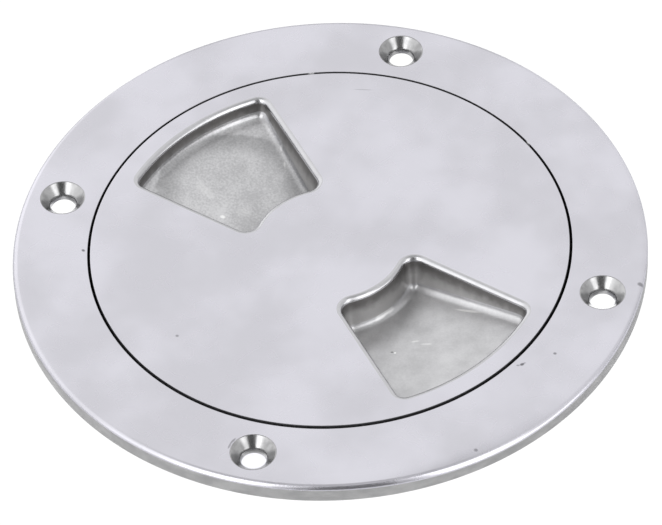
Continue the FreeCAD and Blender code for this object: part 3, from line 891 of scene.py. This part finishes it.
def add_painted_shade_band(tree, place):
    """How much of the light a curved band of painted shade leaves: a line along an arc, softest on its
    inside.
    """
    x, y = SHADE_BAND_CENTRE
    from_centre = add_node(tree, "ShaderNodeVectorMath", {
        0: place, 1: (-x * MM, -y * MM, 0)
    }, operation="ADD").outputs[0]
    far = from_axis(tree, from_centre)
    ragged = worked_out(tree, "MULTIPLY_ADD", noise(tree, place, 3.0, 3.0), SHADE_BAND_RAGGED * MM, far)
    middle = (SHADE_BAND_RADIUS + SHADE_BAND_RAGGED / 2) * MM
    outer = spread(tree, ragged, middle, middle + SHADE_BAND_HALF_WIDTH * MM, 0, 1)
    inner = spread(tree, ragged, middle - 4 * SHADE_BAND_HALF_WIDTH * MM, middle, 1, 0)
    return spread(tree, worked_out(tree, "MAXIMUM", outer, inner), 0, 1, 0.7, 1.0)


def darkened(tree, colour, kept):
    """A colour times the share of light that a place keeps."""
    return add_node(tree, "ShaderNodeVectorMath", {
        0: colour, "Scale": kept
    }, operation="SCALE").outputs[0]


def roughen(tree, shader, height, depth):
    """Raise the surface by a height from 0 to 1 times a depth in millimetres."""
    bump = add_node(tree, "ShaderNodeBump", {"Height": height, "Distance": depth * MM})
    tree.links.new(bump.outputs[0], shader.inputs["Normal"])


def polished_cast_stainless():
    """Cast stainless steel, ground and buffed: bright and even, with faint lilac clouds where
    the buff ran dry, a few sand pits of the casting, and a softer shine in the clouds."""
    material, tree, shader, place = new_metal("polished_cast_stainless", 0.27)
    clouds = noise(tree, place, 26, 3.0)
    colour = tint(tree, spread(tree, clouds, 0.35, 0.65, 0, 1), "#D0CFD6", "#DCDBE3")
    kept = add_marks(tree, place, TOP_MARKS)
    tree.links.new(darkened(tree, colour, kept), shader.inputs["Base Color"])
    shine = spread(tree, noise(tree, place, 9), 0.3, 0.7, 0.23, 0.31)
    tree.links.new(shine, shader.inputs["Roughness"])
    roughen(tree, shader, noise(tree, place, 7), 0.004)
    return material


def bright_stainless():
    """Stainless steel buffed over the pockets' lips: bright, with lines 0.3 mm apart that lie
    level."""
    material, tree, shader, place = new_metal("bright_cut_stainless", 0.26)
    patches = noise(tree, place, 2.5, stretch=(1, 1, 0.5))
    colour = tint(tree, patches, "#C3C3C6", "#D2D2D5")
    tree.links.new(colour, shader.inputs["Base Color"])
    rings = add_node(tree, "ShaderNodeTexWave", {
        "Vector": place, "Scale": 1 / (0.3 * MM) / 20, "Distortion": 1.5, "Detail": 1.0,
    }, bands_direction="Z").outputs["Fac"]
    roughen(tree, shader, rings, 0.0015)
    return material


def countersunk_stainless():
    """Stainless steel cut by a countersink: a darker, harder shine than the buffed faces, with
    chatter in rings 0.4 mm apart, a dull patch here and there, and painted shade on the drilled wall."""
    material, tree, shader, place = new_metal("countersunk_stainless", 0.22)
    patches = spread(tree, noise(tree, place, 2.2, 3.0, (1, 1, 0.4)), 0.3, 0.7, 0, 1)
    colour = tint(tree, patches, "#9E9E9F", "#BABABB")
    height = part_of(tree, place, "Z")
    # Painted shade: the drilled wall below the cone's foot keeps little more than half the light.
    kept = spread(tree, height, (CONE_FOOT - 0.3) * MM, (CONE_FOOT + 0.1) * MM, 0.55, 1.0)
    tree.links.new(darkened(tree, colour, kept), shader.inputs["Base Color"])
    rings = add_node(tree, "ShaderNodeTexWave", {
        "Vector": place, "Scale": 1 / (0.4 * MM) / 20, "Distortion": 2.0, "Detail": 1.0,
    }, bands_direction="Z").outputs["Fac"]
    roughen(tree, shader, rings, 0.003)
    return material


def ground_stainless():
    """The rim's upright side, ground and not buffed: an even grey with faint cloudy patches."""
    material, tree, shader, place = new_metal("ground_stainless", 0.36)
    patches = spread(tree, noise(tree, place, 5, 4.0, (1, 1, 2)), 0.3, 0.7, 0, 1)
    tree.links.new(tint(tree, patches, "#ADADAD", "#C1C1C0"), shader.inputs["Base Color"])
    roughen(tree, shader, noise(tree, place, 0.6, 3.0), 0.01)
    return material


def blasted_side_painted_shade():
    """The upright sides of the pockets, cast and blasted: grey, with painted shade in a ragged band
    under the lip and a painted reflection of the bright bed that lightens them towards the bed."""
    material, tree, shader, place = new_metal("blasted_pocket_side", 0.5)
    height = part_of(tree, place, "Z")
    waver = worked_out(tree, "MULTIPLY_ADD", noise(tree, place, 2.2, 3.0), 2.4 * MM, height)
    # Painted shade and painted reflection: dark up under the lip, light down by the bed.
    down = spread(tree, waver, (LID_TOP - 4.2) * MM, (LID_TOP - 0.4) * MM, 1, 0)
    colour = tint(tree, down, "#7B7978", "#BFBEBD")
    tree.links.new(colour, shader.inputs["Base Color"])
    roughen(tree, shader, noise(tree, place, 0.8, 3.0), 0.03)
    return material


# Where one bed's look passes into the other's, along X in metres, under the solid middle.
BETWEEN_BEDS = (-5 * MM, 5 * MM)


def blasted_bed_painted_light():
    """The beds of the pockets, cast and blasted with grit: softly mottled and grainier on the left
    one, with painted highlights, painted shade in an arc band and patches, and towards the deep end."""
    material, tree, shader, place = new_metal("blasted_pocket_bed", 0.37)
    beside = part_of(tree, place, "X")
    strength = spread(tree, beside, *BETWEEN_BEDS, 0.9, 0.25)
    grain = worked_out(tree, "MULTIPLY", strength, noise(tree, place, 0.5, 2.0))
    mottle = worked_out(tree, "MULTIPLY_ADD", noise(tree, place, 6.0, 5.0), 0.8, grain)
    middle = spread(tree, beside, *BETWEEN_BEDS, 0.85, 0.53)
    share = worked_out(tree, "SUBTRACT", mottle, middle)
    colour = tint(tree, spread(tree, share, -0.28, 0.28, 0, 1), "#BEBEC0", "#DADADC")
    # Painted highlights: the base colour turns white at the listed glints.
    colour = tint(tree, add_marks(tree, place, BED_PAINTED_GLINTS), "#FFFFFF", colour)
    # Painted shade: the bed darkens towards the lid's middle, where the pocket is deepest.
    deep_end_painted_shade = spread(tree, from_axis(tree, place), 19 * MM, 30 * MM, 0.86, 1.0)
    # Darker at the listed marks, and painted shade in the arc band.
    kept = worked_out(tree, "MULTIPLY", add_marks(tree, place, BED_MARKS), add_painted_shade_band(tree, place))
    kept = worked_out(tree, "MULTIPLY", kept, deep_end_painted_shade)
    tree.links.new(darkened(tree, colour, kept), shader.inputs["Base Color"])
    coarse, fine = noise(tree, place, 2.5), noise(tree, place, 0.6, 3.0)
    roughen(tree, shader, worked_out(tree, "MULTIPLY_ADD", coarse, 1.2, fine), 0.016)
    return material


def turned_stainless():
    """Stainless steel off the lathe: tool lines 0.4 mm apart round the axis."""
    material, tree, shader, place = new_metal("turned_stainless", 0.28)
    colour = tint(tree, noise(tree, place, 12), "#BEBEC2", "#CECED2")
    tree.links.new(colour, shader.inputs["Base Color"])
    run = worked_out(tree, "ADD", from_axis(tree, place), part_of(tree, place, "Z"))
    phase = worked_out(tree, "MULTIPLY", run, 2 * math.pi / (0.4 * MM))
    roughen(tree, shader, worked_out(tree, "SINE", phase), 0.003)
    return material


def cast_stainless():
    """Stainless steel as cast, unground on the underside: dull, with a sandy grain of 0.8 mm
    and darker patches of scale."""
    material, tree, shader, place = new_metal("as_cast_stainless", 0.5)
    scale = spread(tree, noise(tree, place, 14, 4.0), 0.3, 0.7, 0, 1)
    tree.links.new(tint(tree, scale, "#9E9EA0", "#BCBCBE"), shader.inputs["Base Color"])
    roughen(tree, shader, noise(tree, place, 0.8, 4.0), 0.06)
    return material


# Where a nick in the edge bridges the dark gap: place and size in millimetres.
GAP_NICKS = [(-18.4, 51.4, 0.7, 0.5, 0, 0.0), (36.0, 41.3, 0.6, 0.5, 0, 0.0)]


def gap_painted_shade():
    """The two sides of the gap: painted shade, a black coat that stands in for the shade down in
    the gap, but for two small light grey spots at nicks that bridge it."""
    material, tree, shader, place = new_metal("grimed_stainless", 0.6)
    shader.inputs["Metallic"].default_value = 0.0
    # Painted shade: a black, non-metal coat stands in for the shade in the gap.
    dark_coat_tone = tint(tree, noise(tree, place, 4), "#242426", "#3A3A3D")
    colour = tint(tree, add_marks(tree, place, GAP_NICKS), "#D0D0D2", dark_coat_tone)
    tree.links.new(colour, shader.inputs["Base Color"])
    roughen(tree, shader, noise(tree, place, 0.6), 0.01)
    return material


def nitrile_rubber():
    """Black nitrile rubber, moulded: nearly matt, with a bloom of dust."""
    material = bpy.data.materials.new("nitrile_rubber")
    material.use_nodes = True
    tree = material.node_tree
    shader = tree.nodes["Principled BSDF"]
    place = add_node(tree, "ShaderNodeTexCoord").outputs["Object"]
    dust = spread(tree, noise(tree, place, 6, 3.0), 0.4, 0.8, 0, 1)
    tree.links.new(tint(tree, dust, "#151517", "#232326"), shader.inputs["Base Color"])
    shader.inputs["Roughness"].default_value = 0.55
    roughen(tree, shader, noise(tree, place, 0.5), 0.008)
    return material


# The camera of the photograph, worked out from its circles and holes: it looks at the cover's
# axis from this far and this high, turned and rolled a little, through a long lens.
CAMERA_DISTANCE = 1148.46
CAMERA_ELEVATION = 47.384
CAMERA_AZIMUTH = 17.594
CAMERA_ROLL = 3.158
CAMERA_ASIDE = 0.10
CAMERA_DOWN = 4.224
FOCAL_PIXELS = 5084.6
IMAGE_WIDTH = 662


def add_camera():
    """Set the camera where the photograph was taken from."""
    up_angle, round_angle = math.radians(CAMERA_ELEVATION), math.radians(CAMERA_AZIMUTH)
    right = np.array([math.cos(round_angle), math.sin(round_angle), 0])
    ahead = np.array([-math.sin(round_angle), math.cos(round_angle), 0])
    up = math.sin(up_angle) * ahead + [0, 0, math.cos(up_angle)]
    back = -math.cos(up_angle) * ahead + [0, 0, math.sin(up_angle)]
    place = CAMERA_DISTANCE * back + CAMERA_ASIDE * right - CAMERA_DOWN * up + [0, 0, LID_TOP]
    roll = math.radians(CAMERA_ROLL)
    across = math.cos(roll) * right - math.sin(roll) * up
    upright = math.sin(roll) * right + math.cos(roll) * up
    data = bpy.data.cameras.new("photo_camera")
    data.sensor_width = 36
    data.lens = FOCAL_PIXELS * data.sensor_width / IMAGE_WIDTH
    camera = bpy.data.objects.new("photo_camera", data)
    matrix = np.eye(4)
    matrix[:3, 0], matrix[:3, 1], matrix[:3, 2], matrix[:3, 3] = across, upright, back, place * MM
    camera.matrix_world = Matrix(matrix.tolist())
    bpy.context.scene.collection.objects.link(camera)
    bpy.context.scene.camera = camera


# The white table: half its side in metres, how its lamp fades from a strength in the middle to
# nothing between two distances from there, and how bright the camera sees the table.
TABLE_HALF_SIDE = 30.0
LAMP_STRENGTH = 1.3
LAMP_FADES = (64 * MM, 82 * MM)
TABLE_BRIGHTNESS = 1.05


def add_floor():
    """A white table under the cover, lit from below so that it leaves no shadow in the picture.

    Its lamp is under the middle: the light that the metal gets back from the table is strong
    under the cover and weak further out.
    """
    corners = [
        (x * TABLE_HALF_SIDE, y * TABLE_HALF_SIDE, COLLAR_FOOT * MM)
        for x, y in ((-1, -1), (1, -1), (1, 1), (-1, 1))
    ]
    mesh = bpy.data.meshes.new("white_table")
    mesh.from_pydata(corners, [], [(0, 1, 2, 3)])
    table = bpy.data.objects.new("white_table", mesh)
    bpy.context.scene.collection.objects.link(table)
    material = bpy.data.materials.new("white_table")
    material.use_nodes = True
    tree = material.node_tree
    shader = tree.nodes["Principled BSDF"]
    shader.inputs["Base Color"].default_value = linear("#E8E8EA")
    shader.inputs["Roughness"].default_value = 0.6
    place = add_node(tree, "ShaderNodeTexCoord").outputs["Object"]
    lamp = spread(tree, magnitude(tree, place), *LAMP_FADES, LAMP_STRENGTH, 0.0)
    shader.inputs["Emission Color"].default_value = (1, 1, 1, 1)
    tree.links.new(lamp, shader.inputs["Emission Strength"])
    path = add_node(tree, "ShaderNodeLightPath")
    glow = add_node(tree, "ShaderNodeEmission", {
        "Color": (1, 1, 1, 1), "Strength": TABLE_BRIGHTNESS
    })
    mixed = add_node(tree, "ShaderNodeMixShader", {
        0: path.outputs["Is Camera Ray"], 1: shader.outputs[0], 2: glow.outputs[0]
    })
    tree.links.new(mixed.outputs[0], tree.nodes["Material Output"].inputs["Surface"])
    mesh.materials.append(material)


# The studio's light by bearing from the camera's side, to the right, and by height above the
# horizon, all in degrees: each box's bearings, heights and brightness. Later boxes lie over
# earlier ones. The dome behind them brightens between two heights, from the horizon's to 1.
STUDIO_BOXES = [
    ((-200, 200), (68, 95), 0.55),
    ((-70, 75), (-10, 66), 0.35),
    ((-166, -116), (-4, 47), 1.3),
    ((116, 166), (-4, 47), 0.95),
    ((-118, -74), (2, 62), 1.2),
    ((-78, -52), (2, 62), 1.5),
    ((-52, -22), (4, 64), 2.7),
    ((54, 120), (16, 60), 0.8),
    ((30, 80), (0, 16), 2.2),
    ((28, 58), (0, 56), 2.3),
    ((-21, 27), (-10, 66), 0.14),
]
BOX_SOFTNESS = 4
DOME_FROM, DOME_FULL = 4, 38
HORIZON_BRIGHTNESS = 0.6


def between(tree, angle, edges):
    """1 where an angle lies between two edges in degrees, falling softly to 0 past each."""
    low, high = (np.radians([edge - BOX_SOFTNESS, edge + BOX_SOFTNESS]).tolist() for edge in edges)
    rise, fall = spread(tree, angle, *low, 0, 1), spread(tree, angle, *high, 1, 0)
    return worked_out(tree, "MULTIPLY", rise, fall)


def add_studio():
    """A soft studio all round: a bright dome over a pale horizon, light panels left and right
    of the camera and the dark gap between them where the camera stands."""
    world = bpy.data.worlds.new("studio")
    world.use_nodes = True
    bpy.context.scene.world = world
    tree = world.node_tree
    background = tree.nodes["Background"]
    background.inputs["Color"].default_value = (1, 1, 1, 1)
    look = add_node(tree, "ShaderNodeTexCoord").outputs["Generated"]
    round_angle = math.radians(CAMERA_AZIMUTH)
    right = (math.cos(round_angle), math.sin(round_angle), 0)
    nearer = (math.sin(round_angle), -math.cos(round_angle), 0)
    sideways, towards = (
        add_node(tree, "ShaderNodeVectorMath", {
            0: look, 1: axis
        }, operation="DOT_PRODUCT").outputs["Value"]
        for axis in (right, nearer)
    )
    bearing = worked_out(tree, "ARCTAN2", sideways, towards)
    height = worked_out(tree, "ARCSINE", part_of(tree, look, "Z"))
    dome = math.radians(DOME_FROM), math.radians(DOME_FULL)
    light = spread(tree, height, *dome, HORIZON_BRIGHTNESS, 1.0)
    for bearings, heights, brightness in STUDIO_BOXES:
        inside = worked_out(
            tree, "MULTIPLY", between(tree, bearing, bearings), between(tree, height, heights)
        )
        light = add_node(tree, "ShaderNodeMix", {
            "Factor": inside, "A": light, "B": brightness
        }, data_type="FLOAT").outputs["Result"]
    tree.links.new(light, background.inputs["Strength"])


def main():
    """Build the three pieces, tie each to its body, and set up the camera, table and light."""
    metals = [
        polished_cast_stainless(), bright_stainless(), blasted_side_painted_shade(), blasted_bed_painted_light(),
        turned_stainless(), cast_stainless(), gap_painted_shade(), countersunk_stainless(),
        ground_stainless(),
    ]
    ring = ring_piece(metals)
    lid = lid_piece(metals)
    seal = seal_piece(nitrile_rubber())
    for piece, body in ((ring, "ring"), (lid, "lid"), (seal, "o_ring")):
        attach(piece, body)
        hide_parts(body)
    add_camera()
    add_floor()
    add_studio()
    bpy.context.scene.view_settings.view_transform = "Standard"


main()
